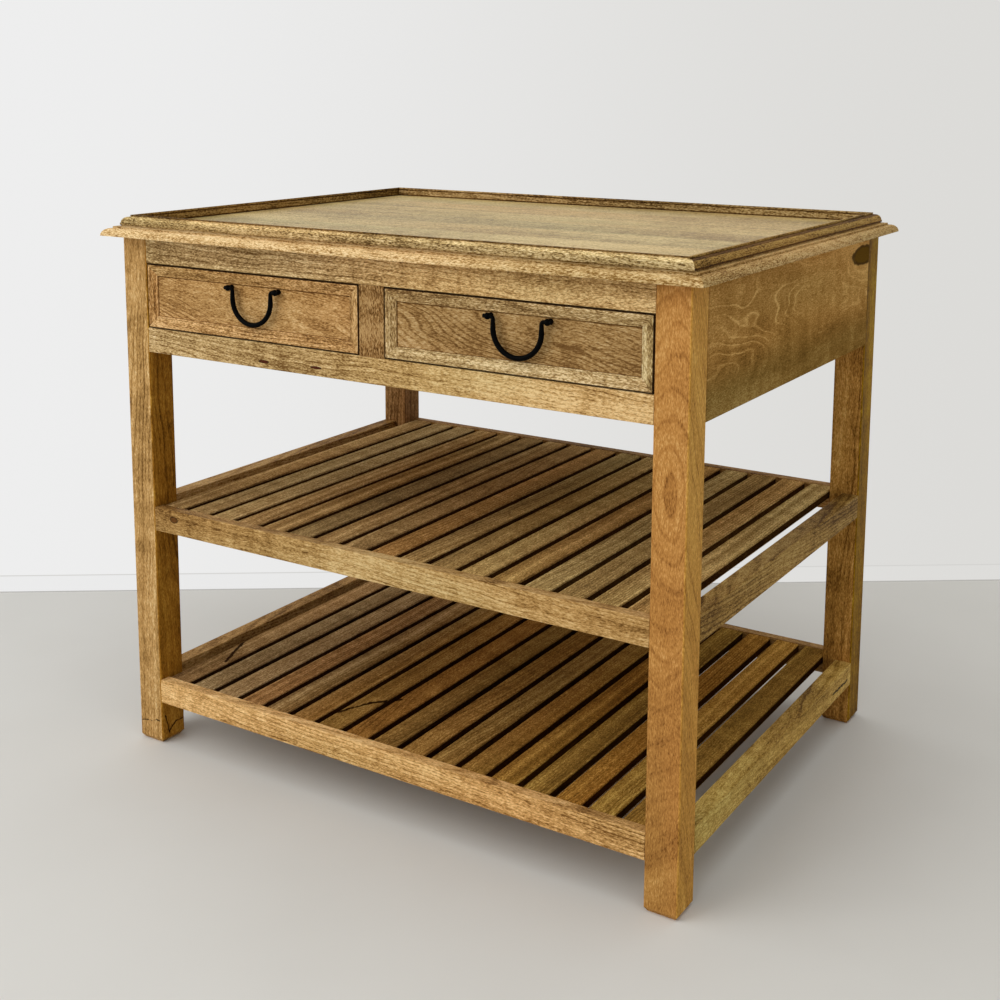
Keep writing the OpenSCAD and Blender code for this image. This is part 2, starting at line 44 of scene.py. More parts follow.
class Wire:
    """One value in a material. Sums written with it add the nodes that work them out."""

    def __init__(self, tree, socket):
        self.tree, self.socket = tree, socket

    def node(self, kind, values=None, out=0, stops=None, **settings):
        made = self.tree.nodes.new(kind)
        for name, setting in settings.items():
            setattr(made, name, setting)
        if stops:
            ramp = made.color_ramp
            while len(ramp.elements) > 1:
                ramp.elements.remove(ramp.elements[-1])
            ramp.elements[0].position, ramp.elements[0].color = stops[0]
            for place, colour in stops[1:]:
                ramp.elements.new(place).color = colour
        for key, value in (values or {}).items():
            if isinstance(value, Wire):
                self.tree.links.new(value.socket, made.inputs[key])
            else:
                made.inputs[key].default_value = value
        return Wire(self.tree, made.outputs[out])

    def math(self, operation, *others):
        return self.node("ShaderNodeMath", dict(enumerate((self,) + others)), operation=operation)

    def __add__(self, other):
        return self.math("ADD", other)

    def __sub__(self, other):
        return self.math("SUBTRACT", other)

    def __mul__(self, other):
        return self.math("MULTIPLY", other)

    def __truediv__(self, other):
        return self.math("DIVIDE", other)

    def __rsub__(self, other):
        return self.node("ShaderNodeMath", {0: other, 1: self}, operation="SUBTRACT")

    __radd__, __rmul__ = __add__, __mul__

    def moved(self, by):
        return self.node("ShaderNodeVectorMath", {0: self, 1: by}, operation="ADD")

    def stretched(self, by):
        return self.node("ShaderNodeVectorMath", {0: self, 1: by}, operation="MULTIPLY")

    def axis(self, number):
        return self.node("ShaderNodeSeparateXYZ", {0: self}, out=number)

    def along(self, way):
        return self.node("ShaderNodeVectorMath", {0: self, 1: way}, out=1, operation="DOT_PRODUCT")

    def noise(self, scale, detail=2.0, roughness=0.5, out=0):
        values = {"Vector": self.stretched(scale), "Scale": 1.0, "Detail": detail, "Roughness": roughness}
        return self.node("ShaderNodeTexNoise", values, out=out)

    def step(self, low, high):
        values = {"Value": self, "From Min": low, "From Max": high}
        return self.node("ShaderNodeMapRange", values, interpolation_type="SMOOTHSTEP")

    def blend(self, low, high, kind="MIX"):
        values = {0: self, 6: low, 7: high}
        return self.node("ShaderNodeMix", values, out=2, data_type="RGBA", blend_type=kind)


def tint(red, green, blue):
    """A colour as a paint chart gives it, 0 to 255, turned to the shader's own linear scale."""
    linear = [c / 255 / 12.92 if c <= 10 else ((c / 255 + 0.055) / 1.055) ** 2.4 for c in (red, green, blue)]
    return (*linear, 1.0)


def mango(name, nodes, along, tones, seed, wash=(1.0, 1.0, 1.0), lift=0.0, pith=(0.045, 0.06),
          lean=(0.0, 0.05), rings=60.0, swirl=0.006, arches=0.5, broad=1.0, streaks=0.2, patches=0.7,
          curl=0.3, grit=1.0, mottle=0.8, strokes=0.45, gloss=0.5, shine=0.03, strips=(), spread=0.0,
          hues=0.6, upright=None, knots=(), cracks=(), stains_and_painted_light=()):
    """Lacquered mango wood with the grain along one axis, put on the named CAD nodes.

    tones are the deep, middle, warm and pale colours, wash scales them all for this piece, and lift moves
    the whole piece towards the pale end. pith is where the heart of the tree lies across the piece, lean how
    it drifts along it, rings how close the growth rings are, and swirl how much they wander.
    arches draws the ring lines dark, or pale where it is negative, broad sets their width, streaks draws
    long dark lines, patches broad changes of tone, curl a figure across the grain, grit and mottle the
    fine texture, and strokes the pores. gloss is the roughness of the lacquer, and shine its reflection.
    strips are (axis, start, pitch) of boards that differ from each other by spread and hues. upright is a
    test that turns the grain of part of the piece, knots are (centre, half sizes, colour), and cracks are
    (start, end, half width) of dark splits. The last argument holds (ranges, soft edge, colour) for stain
    marks and for painted light and shade alike: where the ranges, one (from, to) for each axis named, all
    hold, the wood's colour is multiplied by the one given.
    Scales of noise are in cycles for each metre, first along the grain and then across it."""
    tones = [tuple(min(c * w, 1.0) for c, w in zip(tone, wash)) + (1.0,) for tone in tones]
    material = bpy.data.materials.new(name)
    material.use_nodes = True
    tree = material.node_tree
    shader = tree.nodes["Principled BSDF"]
    place = Wire(tree, tree.nodes.new("ShaderNodeTexCoord").outputs["Object"])
    to_middle = (-0.5, -0.5, -0.5)
    turn = {"X": (0.0, 0.0, 0.0), "Y": (0.0, 0.0, -math.pi / 2), "Z": (0.0, math.pi / 2, 0.0)}
    low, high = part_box(nodes[0])
    middle = (low + high) / 2
    centred = place.moved(tuple(-middle))
    grain = place.node("ShaderNodeMapping", {"Vector": centred, "Rotation": turn[along]})
    if upright:
        standing = place.node("ShaderNodeMapping", {"Vector": centred, "Rotation": turn["Z"]})
        mixed = {0: upright(place), 4: grain, 5: standing.moved((0.7, 0.4, 0.2))}
        grain = place.node("ShaderNodeMix", mixed, out=1, data_type="VECTOR")
    own = grain.moved((seed * 1.37 % 5, seed * 2.11 % 5, seed * 0.73 % 5))
    apart = lift
    side, depth = (grain.axis(i) for i in (1, 2))
    if strips:
        number = 0.0
        for axis, start, pitch in strips:
            number = number + ((place.axis(axis) - start) / pitch).math("FLOOR")
        chance = place.node("ShaderNodeTexWhiteNoise", {"W": number + seed * 3.1}, out=1,
                            noise_dimensions="1D")
        own = own.moved(chance.stretched((4.0, 4.0, 4.0)))
        first, second, third = (chance.axis(i) for i in (0, 1, 2))
        side, depth = side + (first - 0.5) * 0.07, depth + (second - 0.5) * 0.05
        apart = (third - 0.5) * spread + lift
    # the fibres wander, so every finer pattern is drawn on bent coordinates
    warp = 0.012
    bend, kink = own.noise((5, 9, 9), 1.5, out=1), own.noise((26, 40, 40), 1.0, out=1)
    flow = own.moved(bend.moved(to_middle).stretched((0.0, warp * 2.2, warp * 2.2)))
    flow = flow.moved(kink.moved(to_middle).stretched((0.0, warp * 0.45, warp * 0.45)))
    length = grain.axis(0)
    # the rings lie round the pith, and their lines fade in and out
    side, depth = side - pith[0] + length * lean[0], depth - pith[1] + length * lean[1]
    field = (side * side + depth * depth).math("SQRT")
    field = field + (own.noise((2.6, 8, 8), 2.5) - 0.5) * (swirl * 6)
    field = field + (own.noise((13, 42, 42), 2.0) - 0.5) * 0.006
    contour = 1.0 - (field * (rings * 3.2)).math("PINGPONG", 0.5).step(rings * 0.001, rings * 0.004 * broad)
    contour = contour * own.moved((1.9, 2.3, 0.8)).noise((3, 10, 10), 1.5).step(0.40, 0.62)
    ring_noise = {"W": field * rings, "Scale": 1.0, "Detail": 4.0, "Roughness": 0.66}
    rays = own.node("ShaderNodeTexNoise", ring_noise, noise_dimensions="1D")
    # broad patches, fine fibres, short flecks, long lines and a figure across the grain add up to one tone
    patch = own.noise((1.6, 7, 7), 2.0)
    fibre = flow.noise((200, 700, 700), 2.5, 0.6)
    flecks = flow.noise((60, 310, 310), 2.5, 0.55)
    dark_lines = flow.moved((1.7, 0.4, 2.9)).noise((2.6, 70, 70), 4.0, 0.55).step(0.56, 0.72)
    figure = flow.noise((36, 14, 14), 2.0)
    value = 0.52 + (rays - 0.5) * 1.2 + (patch - 0.5) * (2.0 * patches) + (fibre - 0.5) * (1.7 * grit)
    value = value + (flecks - 0.5) * (1.1 * mottle) + (figure - 0.5) * (1.8 * curl)
    value = value + apart - dark_lines * streaks - contour * (arches * 0.55)
    ramp = list(zip((0.0, 0.36, 0.66, 1.0), tones))
    colour = value.node("ShaderNodeValToRGB", {0: value}, stops=ramp)
    # some parts lean towards red and some towards olive, and so do whole boards
    blush = own.moved((3.1, 1.3, 0.2)).noise((1.3, 5, 5), 1.5).step(0.42, 0.68) * 0.55
    colour = blush.blend(colour, (1.0, 0.84, 0.70, 1.0), "MULTIPLY")
    olive = own.moved((0.3, 4.3, 1.2)).noise((1.2, 5, 5), 2.0).step(0.48, 0.66) * 0.5
    colour = olive.blend(colour, (0.80, 0.88, 0.84, 1.0), "MULTIPLY")
    if strips:
        colour = (second.step(0.5, 0.9) * hues).blend(colour, (1.08, 0.90, 0.74, 1.0), "MULTIPLY")
        colour = ((1.0 - second.step(0.1, 0.5)) * hues).blend(colour, (0.94, 1.04, 1.12, 1.0), "MULTIPLY")
    pore = flow.moved((2.2, 0.9, 3.7)).noise((170, 640, 640), 1.5).step(0.56, 0.65) * strokes
    rim_tone, split_tone, pore_tone = tint(34, 20, 6), tint(40, 22, 12), (0.46, 0.38, 0.28, 1.0)
    for centre, half, heart in knots:
        toward = place.moved([-c for c in centre]).stretched([1 / h for h in half])
        ragged = (place.noise((70, 70, 70), 2.0) - 0.5) * 0.35
        reach = toward.node("ShaderNodeVectorMath", {0: toward}, out=1, operation="LENGTH") + ragged
        rim = reach.step(0.74, 0.94) * (1.0 - reach.step(1.0, 1.2))
        colour = (1.0 - reach.step(0.8, 1.0)).blend(colour, heart)
        colour = (rim * 0.85).blend(colour, rim_tone)
    for start, end, half in cracks:
        run = Vector(end) - Vector(start)
        shake = place.noise((70, 70, 70), out=1)
        shaken = place.moved(shake.moved(to_middle).stretched((0.009, 0.009, 0.009)))
        toward = shaken.moved([-c for c in start])
        share = toward.along(run / run.length_squared).math("MINIMUM", 1.0).math("MAXIMUM", 0.0)
        nearest = share.node("ShaderNodeVectorMath", {0: tuple(run), "Scale": share}, operation="SCALE")
        away = toward.node("ShaderNodeVectorMath", {0: toward, 1: nearest}, out=1, operation="DISTANCE")
        colour = ((1.0 - away.step(half * 1.2, half * 2.6)) * 0.95).blend(colour, split_tone)
    colour = pore.blend(colour, pore_tone, "MULTIPLY")
    for ranges, soft, tone in stains_and_painted_light:
        share = 1.0
        for axis, (start, end) in ranges.items():
            at = place.axis(axis)
            share = at.step(start - soft, start) * (1.0 - at.step(end, end + soft)) * share
        colour = share.blend(colour, (*tone, 1.0), "MULTIPLY")
    shader.inputs["Specular IOR Level"].default_value = shine
    tree.links.new(colour.socket, shader.inputs["Base Color"])
    tree.links.new((gloss + (0.5 - fibre) * 0.25 + pore * 0.15).socket, shader.inputs["Roughness"])
    height = fibre * 0.5 + rays * 0.35 - pore * 0.8
    bump = height.node("ShaderNodeBump", {"Height": height, "Strength": 0.35, "Distance": 0.0005})
    tree.links.new(bump.socket, shader.inputs["Normal"])
    for node in nodes:
        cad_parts[node].material_slots[0].material = material


foot_cracks = [((-0.4545, -0.369, 0.049), (-0.4545, -0.360, 0.015), 0.0007),
               ((-0.4545, -0.360, 0.015), (-0.4545, -0.346, 0.029), 0.0008),
               ((-0.4545, -0.346, 0.029), (-0.4545, -0.328, 0.029), 0.0006),
               ((-0.504, -0.3765, 0.031), (-0.461, -0.3765, 0.040), 0.0006)]
leg_tones = (tint(96, 62, 26), tint(146, 103, 54), tint(176, 128, 74), tint(206, 165, 112))


def painted_right_face(leg, tone):
    """Painted light on the side of a leg that faces right, multiplied over its wood."""
    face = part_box(leg)[1].x
    return [({0: (face - 0.0012, face + 1)}, 0.002, tone)]


# the faces of the legs that face right carry painted light: painted shade on the front left and back right
# legs, and on the front right leg a paler, yellower tone, partly paler wood along that face and partly
# painted warm light
mango("leg_front_left_wood", ["leg_front_left"], "Z", leg_tones, 3.0, wash=(1.33, 1.57, 1.79), patches=0.5,
      grit=0.8, lift=0.05, stains_and_painted_light=painted_right_face("leg_front_left", (0.73, 0.56, 0.18)), cracks=foot_cracks)
orange_tones = (tint(100, 58, 24), tint(156, 104, 50), tint(178, 124, 64), tint(206, 158, 96))
mango("leg_front_right_wood", ["leg_front_right"], "Z", orange_tones, 7.0, wash=(1.27, 1.37, 1.45),
      pith=(0.02, 0.0), rings=24.0, lean=(0.3, 0.0), swirl=0.012, arches=0.36, broad=1.6, mottle=0.45,
      patches=0.22, streaks=0.1, strokes=0.2, grit=0.8, curl=0.1,
      stains_and_painted_light=painted_right_face("leg_front_right", (1.18, 1.30, 1.0)))
mango("leg_back_left_wood", ["leg_back_left"], "Z", leg_tones, 11.0, wash=(0.84, 0.92, 1.13), lift=-0.05)
mango("leg_back_right_wood", ["leg_back_right"], "Z", leg_tones, 15.0, wash=(1.3, 1.4, 1.1), lift=-0.1,
      stains_and_painted_light=painted_right_face("leg_back_right", (0.57, 0.58, 0.09)))

# Shelf rails
# Each shelf has four rails of solid mango wood, tenoned into the legs flush with their faces.
# The front and back ones have a ledge cut along the inside that carries the slats.
rail_tones = (tint(98, 64, 28), tint(156, 116, 66), tint(188, 146, 92), tint(214, 178, 126))
rail_places = [("low", "front", "X"), ("low", "back", "X"), ("low", "left", "Y"), ("low", "right", "Y"),
               ("mid", "front", "X"), ("mid", "back", "X"), ("mid", "left", "Y"), ("mid", "right", "Y")]
rail_washes = {"low_rail_front": (1.475, 1.535, 1.57), "low_rail_right": (1.12, 1.31, 0.91),
               "mid_rail_front": (1.10, 1.23, 1.26), "mid_rail_right": (0.84, 0.91, 0.69)}
rail_patches = {"mid_rail_front": 0.9}
rail_knots = {"mid_rail_front": [((-0.412, -0.3765, 0.402), (0.008, 0.01, 0.005), tint(104, 66, 30))]}
rail_cracks = {"low_rail_right": [((0.5055, 0.235, 0.090), (0.5055, 0.308, 0.089), 0.0012)]}
for number, (level, where, along) in enumerate(rail_places):
    name = f"{level}_rail_{where}"
    mango(name + "_wood", [name], along, rail_tones, 21.0 + 1.9 * number, lift=0.04,
          wash=rail_washes.get(name, (1.0, 1.0, 0.9)), pith=(0.02, -0.06), streaks=0.3,
          patches=rail_patches.get(name, 0.55), knots=rail_knots.get(name, ()),
          cracks=rail_cracks.get(name, ()))

# Shelf slats
# Seventeen thin boards of mango wood to a shelf, laid with open gaps on the ledges of the rails.
# They come from different planks, so the tone changes from one slat to the next.
slat_cracks = [((-0.419, -0.257, 0.113), (-0.463, -0.147, 0.113), 0.0016),
               ((-0.128, -0.308, 0.113), (-0.104, -0.254, 0.113), 0.0014),
               ((-0.104, -0.254, 0.113), (-0.071, -0.217, 0.113), 0.0022)]
yellow_side = {"low": [({0: (-0.12, 1.0)}, 0.16, (0.87, 0.72, 0.42)),
                       ({0: (0.25, 1.0)}, 0.15, (1.18, 1.2, 0.96))],
               "mid": [({0: (0.15, 1.0)}, 0.2, (1.14, 1.17, 1.07))]}
slat_tones = (tint(84, 57, 28), tint(114, 79, 40), tint(138, 100, 54), tint(172, 133, 80))
slat_gap_shade_tone, slat_count, slat_width, half_gap = (0.12, 0.08, 0.05), 17, 0.041, 0.0065
for level, seed, wash, cracks in (("low", 41.0, (1.66, 2.1, 3.2), slat_cracks),
                                  ("mid", 46.0, (1.95, 2.46, 3.4), ())):
    low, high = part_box(f"{level}_slats")
    slat_pitch = (high.x - low.x - slat_width) / (slat_count - 1)
    # painted shade: the sides of the slats, which face the gaps, are darkened to all but black for the shade
    # in the gaps
    gap_side_shade = ({2: (low.z + 0.002, high.z - 0.003)}, 0.001, slat_gap_shade_tone)
    mango(f"{level}_slat_wood", [f"{level}_slats"], "Y", slat_tones, seed, wash=wash, pith=(0.01, 0.05),
          strips=[(0, low.x - half_gap, slat_pitch)], spread=0.2, patches=0.24, streaks=0.18, grit=1.2,
          mottle=0.5, shine=0.0, cracks=cracks, stains_and_painted_light=[gap_side_shade] + yellow_side[level])

# Aprons
# Wide boards of solid mango wood under the top, tenoned into the legs at the sides and the back.
# The one on the right shows the swirling figure of a crotch, and a dark knot at its back end.
apron_tones = (tint(84, 58, 24), tint(124, 92, 46), tint(146, 112, 62), tint(176, 144, 90))
apron_knot = ((0.5055, 0.300, 0.8355), (0.02, 0.056, 0.015), tint(104, 76, 26))
mango("apron_right_wood", ["apron_right"], "Y", apron_tones, 51.0, wash=(1.68, 1.65, 1.59), pith=(0.06, 0.02),
      swirl=0.06, shine=0.0, rings=14.0, lean=(0.1, 0.1), arches=-0.65, broad=2.4, streaks=0.1,
      strokes=0.25, grit=0.85, mottle=0.45, knots=[apron_knot],
      stains_and_painted_light=[({2: (0.0, 0.705)}, 0.055, (0.60, 0.66, 0.62))])
for where, along, seed in (("left", "Y", 57.0), ("back", "X", 61.0)):
    mango(f"apron_{where}_wood", [f"apron_{where}"], along, apron_tones, seed, pith=(0.06, 0.02), swirl=0.02,
          rings=70.0)

# Rails and stile round the drawers
# A rail above the drawers, one below them and a short stile between them, all of solid mango wood.
# They are tenoned into the legs and into each other, and stand flush with the legs.
front_tones = (tint(92, 62, 28), tint(144, 108, 62), tint(172, 134, 82), tint(206, 172, 118))
mango("front_rail_top_wood", ["front_rail_top"], "X", front_tones, 71.0, wash=(1.48, 1.73, 2.22),
      pith=(0.03, -0.05), patches=0.6, grit=1.4, strokes=0.6,
      stains_and_painted_light=[({0: (0.12, 1.0)}, 0.3, (0.93, 0.85, 0.72))])
pale_tones = (tint(110, 74, 34), tint(170, 132, 80), tint(196, 156, 102), tint(222, 188, 136))
knot_tone = tint(78, 36, 22)
mango("front_rail_low_wood", ["front_rail_low"], "X", pale_tones, 75.0, wash=(1.29, 1.49, 1.84),
      pith=(0.03, -0.05), patches=0.8, grit=1.3, strokes=0.6,
      stains_and_painted_light=[({0: (0.12, 1.0)}, 0.3, (0.92, 0.87, 0.74))],
      knots=[((-0.208, -0.3765, 0.690), (0.010, 0.01, 0.0024), knot_tone),
             ((-0.105, -0.3765, 0.692), (0.010, 0.01, 0.0020), knot_tone)])
mango("front_stile_wood", ["front_stile"], "Z", front_tones, 79.0, wash=(0.79, 0.74, 0.70), curl=0.9,
      grit=2.2, mottle=1.2, strokes=0.65, streaks=0.3)

# Drawer runners
# Plain lengths of mango wood: the outer two, a ledge and a guide, are fixed to the side aprons, and
# the middle one is tenoned in at both ends. They have no lacquer, so they look duller than the rest.
runner_tones = (tint(92, 66, 36), tint(138, 106, 64), tint(160, 128, 84), tint(188, 158, 112))
for number, name in enumerate(("runner_left", "runner_middle", "runner_right")):
    mango(name + "_wood", [name], "Y", runner_tones, 83.0 + 3 * number, gloss=0.62)

# Top boards
# Seven boards glued edge to edge, with the grain along the island, inside the mitred moulding.
# Their open pores and greyish straw colour come through a thin satin lacquer.
top_tones = (tint(126, 104, 66), tint(178, 156, 114), tint(200, 180, 138), tint(220, 202, 162))
speck_tone = tint(60, 44, 24)
low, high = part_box("top_board_1")
mango("top_wood", [f"top_board_{i}" for i in range(1, 8)], "X", top_tones, 91.0, wash=(1.02, 0.965, 0.72),
      grit=1.7, hues=0.15, pith=(0.0, -0.09), swirl=0.004, rings=120.0,
      strips=[(1, low.y, high.y - low.y)], spread=0.25, patches=0.5, strokes=0.6, gloss=0.42, shine=0.15,
      knots=[((-0.052, 0.028, 0.884), (0.0035, 0.0045, 0.01), speck_tone),
             ((0.024, 0.170, 0.884), (0.003, 0.005, 0.01), speck_tone)])

# Moulding and lip
# A planed moulding with a rounded nose runs round the top, mitred at the corners and glued to it.
# A second, thinner strip stands on it and makes the lip of the tray.
moulding_tones = (tint(136, 98, 48), tint(196, 158, 104), tint(218, 184, 132), tint(236, 208, 160))
lip_tones = (tint(92, 68, 36), tint(160, 130, 84), tint(188, 160, 112), tint(214, 188, 144))
# painted shade: the right moulding and the right and left lips, whose seen faces turn right, away from the
# lamps, are washed darker and yellower than the front ones
moulding_washes_and_shade = {"front": (1.07, 1.09, 1.1), "right": (0.82, 0.81, 0.68)}
lip_washes_and_shade = {"front": (1.12, 1.18, 1.18), "right": (0.80, 0.72, 0.40), "left": (0.66, 0.59, 0.39)}
# painted light on the moulding and lip: at the front the fillet of the moulding is darkened by painted shade,
# so it is darker than its nose, and the lip has a thin dark edge of painted shade with a painted highlight
# below it and painted shade at its foot; on the other sides the step of the lip and its foot are dark with
# painted shade
fillet_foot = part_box("moulding_front")[0].z + 0.0128
fillet_painted_shade = ({2: (fillet_foot, 1.0)}, 0.0006, (0.72, 0.7, 0.66))
lip_foot, lip_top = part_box("lip_front")[0].z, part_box("lip_front")[1].z
front_light_and_shade = [({2: (lip_top - 0.002, 1.0)}, 0.0003, (0.42, 0.35, 0.27)),
                ({2: (lip_top - 0.0062, lip_top - 0.0025)}, 0.0006, (1.32, 1.34, 1.34)),
                ({2: (0.0, lip_foot + 0.001)}, 0.0006, (0.92, 0.88, 0.82))]
side_painted_shade = [({2: (lip_top - 0.0047, lip_top - 0.0027)}, 0.0004, (0.34, 0.26, 0.18)),
               ({2: (0.0, lip_foot + 0.0022)}, 0.0006, (0.28, 0.21, 0.15))]
for number, (where, along) in enumerate((("front", "X"), ("back", "X"), ("left", "Y"), ("right", "Y"))):
    at_front = where == "front"
    mango(f"moulding_{where}_wood", [f"moulding_{where}"], along, moulding_tones, 101.0 + 3 * number,
          wash=moulding_washes_and_shade.get(where, (0.9, 0.88, 0.8)), pith=(0.02, -0.07), patches=0.55, streaks=0.3,
          grit=1.9, stains_and_painted_light=[fillet_painted_shade] if at_front else ())
    mango(f"lip_{where}_wood", [f"lip_{where}"], along, lip_tones, 121.0 + 3 * number,
          wash=lip_washes_and_shade.get(where, (0.9, 0.85, 0.75)), pith=(0.02, -0.07), streaks=0.5, grit=2.0,
          stains_and_painted_light=front_light_and_shade if at_front else side_painted_shade)

# Drawer fronts
# Each front is one wide flat-sawn board with arched figure, framed by four mitred strips.
# The strips come from greyer wood than the panel.
panel_tones = (tint(120, 82, 42), tint(168, 126, 74), tint(190, 148, 94), tint(212, 176, 124))
strip_tones = (tint(90, 62, 30), tint(140, 106, 60), tint(168, 134, 84), tint(200, 168, 118))
panel_washes = {"left": (1.10, 1.12, 1.14), "right": (0.98, 1.01, 1.08)}
strip_washes = {"left": (1.43, 1.375, 1.4), "right": (1.51, 1.72, 2.12)}
strip_width, gap_shade_width, under_strip = 0.018, 0.0006, 0.002
gap_shade_tone, frame_shadow_tone = (0.12, 0.09, 0.08), (0.42, 0.34, 0.26)
for number, which in enumerate(("left", "right")):
    low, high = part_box(f"drawer_{which}_front")
    inner_left, inner_right = low.x + strip_width, high.x - strip_width
    inner_low, inner_high = low.z + strip_width, high.z - strip_width
    # painted shadow: thin dark lines stand in the inner corners of the frame, wider on the left and at the
    # top
    frame_shadows = [{0: (inner_left - under_strip, inner_left + 0.0012)},
               {0: (inner_right - 0.0004, inner_right + under_strip)},
               {2: (inner_low - under_strip, inner_low + 0.0003)},
               {2: (inner_high - 0.0012, inner_high + under_strip)}]
    face = (low.y - 1, low.y + 0.002)
    mango(f"drawer_{which}_front_wood", [f"drawer_{which}_front"], "X", panel_tones, 141.0 + 5 * number,
          wash=panel_washes[which], pith=(0.0, 0.015), swirl=0.018, lean=(0.05, 0.25), rings=56.0, arches=0.8,
          curl=0.4, grit=1.35, lift=0.05 - 0.15 * number,
          stains_and_painted_light=[({**shadow_band, 1: face}, 0.001, frame_shadow_tone) for shadow_band in frame_shadows])
    low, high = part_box(f"drawer_{which}_bead")

    def near_ends(place, middle=(low + high) / 2, half=(high - low) / 2):
        """1 in the two upright strips of the frame, bounded by the mitres, and 0 in the other two."""
        x, z = (place.axis(i) for i in (0, 2))
        from_end = half.x - (x - middle.x).math("ABSOLUTE")
        return from_end.math("LESS_THAN", half.z - (z - middle.z).math("ABSOLUTE"))

    # painted shade: a thin dark line along the outer edges of the frame stands for the shade in the gap round
    # the drawer
    gap_shades = [{0: (low.x - 1, low.x + gap_shade_width)}, {0: (high.x - gap_shade_width, high.x + 1)},
            {2: (low.z - 1, low.z + gap_shade_width)}, {2: (high.z - gap_shade_width, high.z + 1)}]
    mango(f"drawer_{which}_bead_wood", [f"drawer_{which}_bead"], "X", strip_tones, 151.0 + 5 * number,
          wash=strip_washes[which], grit=1.6, strokes=0.65, upright=near_ends,
          stains_and_painted_light=[(rim, 0.0005, gap_shade_tone) for rim in gap_shades])

# Drawer boxes
# Sides and back of thinner, plainer mango wood, let into the back of the front, with a thin
# bottom that slides in grooves. The insides are only oiled.
box_tones = (tint(116, 86, 48), tint(168, 134, 84), tint(188, 156, 106), tint(210, 182, 134))
for number, which in enumerate(("left", "right")):
    for count, (part, along) in enumerate((("side_a", "Y"), ("side_b", "Y"), ("back", "X"), ("bottom", "X"))):
        mango(f"drawer_{which}_{part}_wood", [f"drawer_{which}_{part}"], along, box_tones,
              161.0 + 9 * number + 2 * count, gloss=0.6, streaks=0.3)

# Handles
# Forged drop handles in black waxed iron: two round-headed posts through the front, and a bail
# that hangs from them. A hexagonal nut inside the drawer holds each post.
for name, rubbed in (("post_iron", 0.25), ("bail_iron", 0.35)):
    iron = bpy.data.materials.new(name)
    iron.use_nodes = True
    shader = iron.node_tree.nodes["Principled BSDF"]
    place = Wire(iron.node_tree, iron.node_tree.nodes.new("ShaderNodeTexCoord").outputs["Object"])
    hammer = place.noise((190, 190, 190), 2.0)
    grit = place.noise((900, 900, 900), 2.0)
    worn = place.noise((60, 60, 60), 3.0, 0.6).step(0.52, 0.72) * rubbed
    colour = worn.blend(tint(3, 3, 3), tint(12, 11, 10))
    iron.node_tree.links.new(colour.socket, shader.inputs["Base Color"])
    iron.node_tree.links.new((0.5 + (grit - 0.5) * 0.3 - worn * 0.3).socket, shader.inputs["Roughness"])
    shader.inputs["Specular IOR Level"].default_value = 0.03
    height = hammer * 0.8 + grit * 0.2
    bump = height.node("ShaderNodeBump", {"Height": height, "Strength": 0.4, "Distance": 0.0006})
    iron.node_tree.links.new(bump.socket, shader.inputs["Normal"])
for which in ("left", "right"):
    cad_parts[f"handle_{which}_posts"].material_slots[0].material = bpy.data.materials["post_iron"]
    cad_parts[f"handle_{which}_bail"].material_slots[0].material = bpy.data.materials["bail_iron"]

# a nut is a six-sided prism with eased edges; flat_share is its width over flats, by that over corners
nut_size, nut_thick, nut_ease, shank_room, flat_share = 0.0046, 0.0026, 0.0004, 0.0027, 0.866
bpy.ops.object.select_all(action="DESELECT")
bpy.ops.mesh.primitive_cylinder_add(vertices=6, radius=nut_size, depth=nut_thick)
nut = bpy.context.object
bpy.ops.object.mode_set(mode="EDIT")
bpy.ops.mesh.select_mode(type="FACE")
bpy.ops.mesh.select_all(action="DESELECT")
bpy.ops.object.mode_set(mode="OBJECT")
for face in nut.data.polygons:
    face.select = abs(face.normal.z) > 0.9
bpy.ops.object.mode_set(mode="EDIT")
bpy.ops.mesh.bevel(offset=nut_ease, segments=1)
bpy.ops.object.mode_set(mode="OBJECT")
for face in nut.data.polygons:
    face.select = abs(face.normal.z) > 0.9
# the hole for the shank: both end faces are inset, opened and joined to each other
bpy.ops.object.mode_set(mode="EDIT")
bpy.ops.mesh.inset(thickness=nut_size * flat_share - nut_ease - shank_room)
bpy.ops.mesh.delete(type="FACE")
bpy.ops.mesh.select_mode(type="EDGE")
bpy.ops.object.mode_set(mode="OBJECT")
near_hole = (shank_room / flat_share) * 1.12
for edge in nut.data.edges:
    ends = [nut.data.vertices[v].co for v in edge.vertices]
    edge.select = all(math.hypot(c.x, c.y) < near_hole for c in ends)
bpy.ops.object.mode_set(mode="EDIT")
bpy.ops.mesh.bridge_edge_loops()
bpy.ops.mesh.select_all(action="SELECT")
bpy.ops.mesh.normals_make_consistent(inside=False)
bpy.ops.transform.rotate(value=math.pi / 2, orient_axis="X", center_override=(0, 0, 0))
bpy.ops.object.mode_set(mode="OBJECT")
post_radius = 0.004
for which in ("left", "right"):
    low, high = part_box(f"handle_{which}_posts")
    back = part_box(f"drawer_{which}_front")[1].y
    height = (low.z + high.z) / 2
    for number, x in enumerate((low.x + post_radius, high.x - post_radius)):
        piece = nut.copy()
        piece.data = nut.data.copy()
        piece.name = f"handle_{which}_nut_{number + 1}"
        bpy.context.scene.collection.objects.link(piece)
        piece.data.transform(Matrix.Translation((x, back + nut_thick / 2, height)))
        piece.data.materials.clear()
        piece.data.materials.append(bpy.data.materials["post_iron"])
        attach(piece, f"drawer_{which}")
bpy.data.objects.remove(nut)

